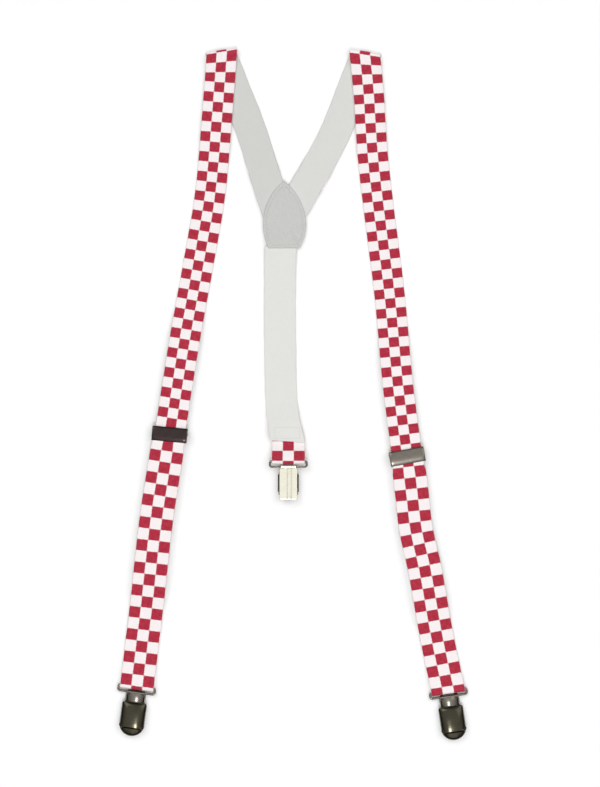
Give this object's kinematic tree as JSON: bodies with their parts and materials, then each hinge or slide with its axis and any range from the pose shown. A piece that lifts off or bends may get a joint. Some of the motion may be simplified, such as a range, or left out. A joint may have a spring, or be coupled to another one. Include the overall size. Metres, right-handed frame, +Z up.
{
  "type": "suspenders",
  "caption": "Y-back clip suspenders in checked elastic webbing, laid flat, with adjuster slides, a teardrop back patch and flip-lever clips on wire bails.",
  "frame": {"origin": "middle of the outline on the surface that the suspenders lie on", "axes": "+Y from the clips to the shoulder folds, +Z up off the surface, +X to the right seen from above"},
  "size_m": [0.2767, 0.5462, 0.0078],
  "materials": {
    "check_webbing": "woven elastic, red and white checks",
    "white_webbing": "woven elastic seen from its plain side",
    "leatherette": "grained white leatherette",
    "dark_nickel": "polished black nickel",
    "nickel": "bright nickel",
    "grip": "translucent white nylon"
  },
  "bodies": {
    "back": {"left_shoulder_strap": "white_webbing", "right_shoulder_strap": "white_webbing", "rear_strap": "white_webbing", "rear_tab": "check_webbing", "patch_outer": "leatherette", "patch_inner": "leatherette"},
    "left_front": {"left_shoulder_fold": "check_webbing", "left_front_strap": "check_webbing"},
    "left_slide": {"left_slide_frame": "dark_nickel", "left_slide_pin": "nickel", "left_lower_strap": "check_webbing", "left_return_strap": "check_webbing"},
    "left_flap": {"left_slide_flap": "nickel"},
    "left_hanger": {"left_clip_loop": "check_webbing"},
    "left_ring": {"left_bail": "nickel"},
    "left_clip": {"left_clip_base": "nickel", "left_clip_pin": "nickel", "left_clip_base_pad": "grip"},
    "left_jaw": {"left_clip_jaw": "dark_nickel", "left_clip_jaw_pad": "grip"},
    "left_lever": {"left_clip_lever": "dark_nickel"},
    "right_front": {"right_shoulder_fold": "check_webbing", "right_front_strap": "check_webbing"},
    "right_slide": {"right_slide_frame": "dark_nickel", "right_slide_pin": "nickel", "right_lower_strap": "check_webbing", "right_return_strap": "check_webbing"},
    "right_flap": {"right_slide_flap": "nickel"},
    "right_hanger": {"right_clip_loop": "check_webbing"},
    "right_ring": {"right_bail": "nickel"},
    "right_clip": {"right_clip_base": "nickel", "right_clip_pin": "nickel", "right_clip_base_pad": "grip"},
    "right_jaw": {"right_clip_jaw": "dark_nickel", "right_clip_jaw_pad": "grip"},
    "right_lever": {"right_clip_lever": "dark_nickel"},
    "rear_ring": {"rear_bail": "nickel"},
    "rear_clip": {"rear_clip_base": "nickel", "rear_clip_pin": "nickel", "rear_clip_base_pad": "grip"},
    "rear_jaw": {"rear_clip_jaw": "dark_nickel", "rear_clip_jaw_pad": "grip"},
    "rear_lever": {"rear_clip_lever": "dark_nickel"}
  },
  "joints": [
    {"name": "left_shoulder_unfold", "type": "hinge", "parent": "back", "child": "left_front", "pos_m": [-0.0562, 0.2693, 0.0021], "axis": [-0.9863, -0.165, 0], "range_deg": [0, 180], "deforming": ["left_shoulder_fold"]},
    {"name": "left_slide_travel", "type": "slide", "parent": "left_front", "child": "left_slide", "axis": [0.1564, 0.9877, 0], "range_m": [-0.045, 0.06]},
    {"name": "left_clip_follow", "type": "slide", "parent": "left_slide", "child": "left_hanger", "axis": [0.1564, 0.9877, 0], "range_m": [-0.03, 0.0225], "deforming": ["left_lower_strap", "left_return_strap"]},
    {"name": "left_flap_lock", "type": "hinge", "parent": "left_slide", "child": "left_flap", "pos_m": [-0.09653, -0.03022, 0.00185], "axis": [-0.9877, 0.1564, 0], "range_deg": [0, 75]},
    {"name": "left_bail_swing", "type": "hinge", "parent": "left_hanger", "child": "left_ring", "pos_m": [-0.12273, -0.23104, 0.00225], "axis": [-0.9912, 0.1323, 0], "range_deg": [-40, 40]},
    {"name": "left_clip_swing", "type": "hinge", "parent": "left_ring", "child": "left_clip", "pos_m": [-0.1233, -0.2353, 0.00225], "axis": [-0.9912, 0.1323, 0], "range_deg": [-35, 35]},
    {"name": "left_lever_flip", "type": "hinge", "parent": "left_clip", "child": "left_lever", "pos_m": [-0.12674, -0.26107, 0.0055], "axis": [0.9912, -0.1323, 0], "range_deg": [0, 75]},
    {"name": "left_jaw_open", "type": "hinge", "parent": "left_clip", "child": "left_jaw", "pos_m": [-0.12436, -0.24323, 0.00205], "axis": [-0.9912, 0.1323, 0], "range_deg": [0, 4.5]},
    {"name": "right_shoulder_unfold", "type": "hinge", "parent": "back", "child": "right_front", "pos_m": [0.0575, 0.2683, 0.0021], "axis": [-0.9877, 0.1564, 0], "range_deg": [0, 180], "deforming": ["right_shoulder_fold"]},
    {"name": "right_slide_travel", "type": "slide", "parent": "right_front", "child": "right_slide", "axis": [-0.1219, 0.9925, 0], "range_m": [-0.045, 0.06]},
    {"name": "right_clip_follow", "type": "slide", "parent": "right_slide", "child": "right_hanger", "axis": [-0.1219, 0.9925, 0], "range_m": [-0.03, 0.0225], "deforming": ["right_lower_strap", "right_return_strap"]},
    {"name": "right_flap_lock", "type": "hinge", "parent": "right_slide", "child": "right_flap", "pos_m": [0.09009, -0.04761, 0.00185], "axis": [-0.9925, -0.1219, 0], "range_deg": [0, 75]},
    {"name": "right_bail_swing", "type": "hinge", "parent": "right_hanger", "child": "right_ring", "pos_m": [0.12267, -0.23425, 0.00225], "axis": [-0.9893, -0.1461, 0], "range_deg": [-40, 40]},
    {"name": "right_clip_swing", "type": "hinge", "parent": "right_ring", "child": "right_clip", "pos_m": [0.1233, -0.2385, 0.00225], "axis": [-0.9893, -0.1461, 0], "range_deg": [-35, 35]},
    {"name": "right_lever_flip", "type": "hinge", "parent": "right_clip", "child": "right_lever", "pos_m": [0.1271, -0.26422, 0.0055], "axis": [0.9893, 0.1461, 0], "range_deg": [0, 75]},
    {"name": "right_jaw_open", "type": "hinge", "parent": "right_clip", "child": "right_jaw", "pos_m": [0.12447, -0.24641, 0.00205], "axis": [-0.9893, -0.1461, 0], "range_deg": [0, 4.5]},
    {"name": "rear_bail_swing", "type": "hinge", "parent": "back", "child": "rear_ring", "pos_m": [-0.0033, -0.053, 0.0055], "axis": [-1, 0, 0], "range_deg": [-40, 40]},
    {"name": "rear_clip_swing", "type": "hinge", "parent": "rear_ring", "child": "rear_clip", "pos_m": [-0.0033, -0.0573, 0.0055], "axis": [-1, 0, 0], "range_deg": [-35, 35]},
    {"name": "rear_lever_flip", "type": "hinge", "parent": "rear_clip", "child": "rear_lever", "pos_m": [-0.0033, -0.0755, 0.00225], "axis": [-1, 0, 0], "range_deg": [0, 75]},
    {"name": "rear_jaw_open", "type": "hinge", "parent": "rear_clip", "child": "rear_jaw", "pos_m": [-0.0033, -0.0629, 0.0057], "axis": [1, 0, 0], "range_deg": [0, 4.5]}
  ],
  "couplings": [
    {"joint": "left_clip_follow", "follows": "left_slide_travel", "ratio": -0.5},
    {"joint": "left_jaw_open", "follows": "left_lever_flip", "ratio": 0.06},
    {"joint": "right_clip_follow", "follows": "right_slide_travel", "ratio": -0.5},
    {"joint": "right_jaw_open", "follows": "right_lever_flip", "ratio": 0.06},
    {"joint": "rear_jaw_open", "follows": "rear_lever_flip", "ratio": 0.06}
  ]
}
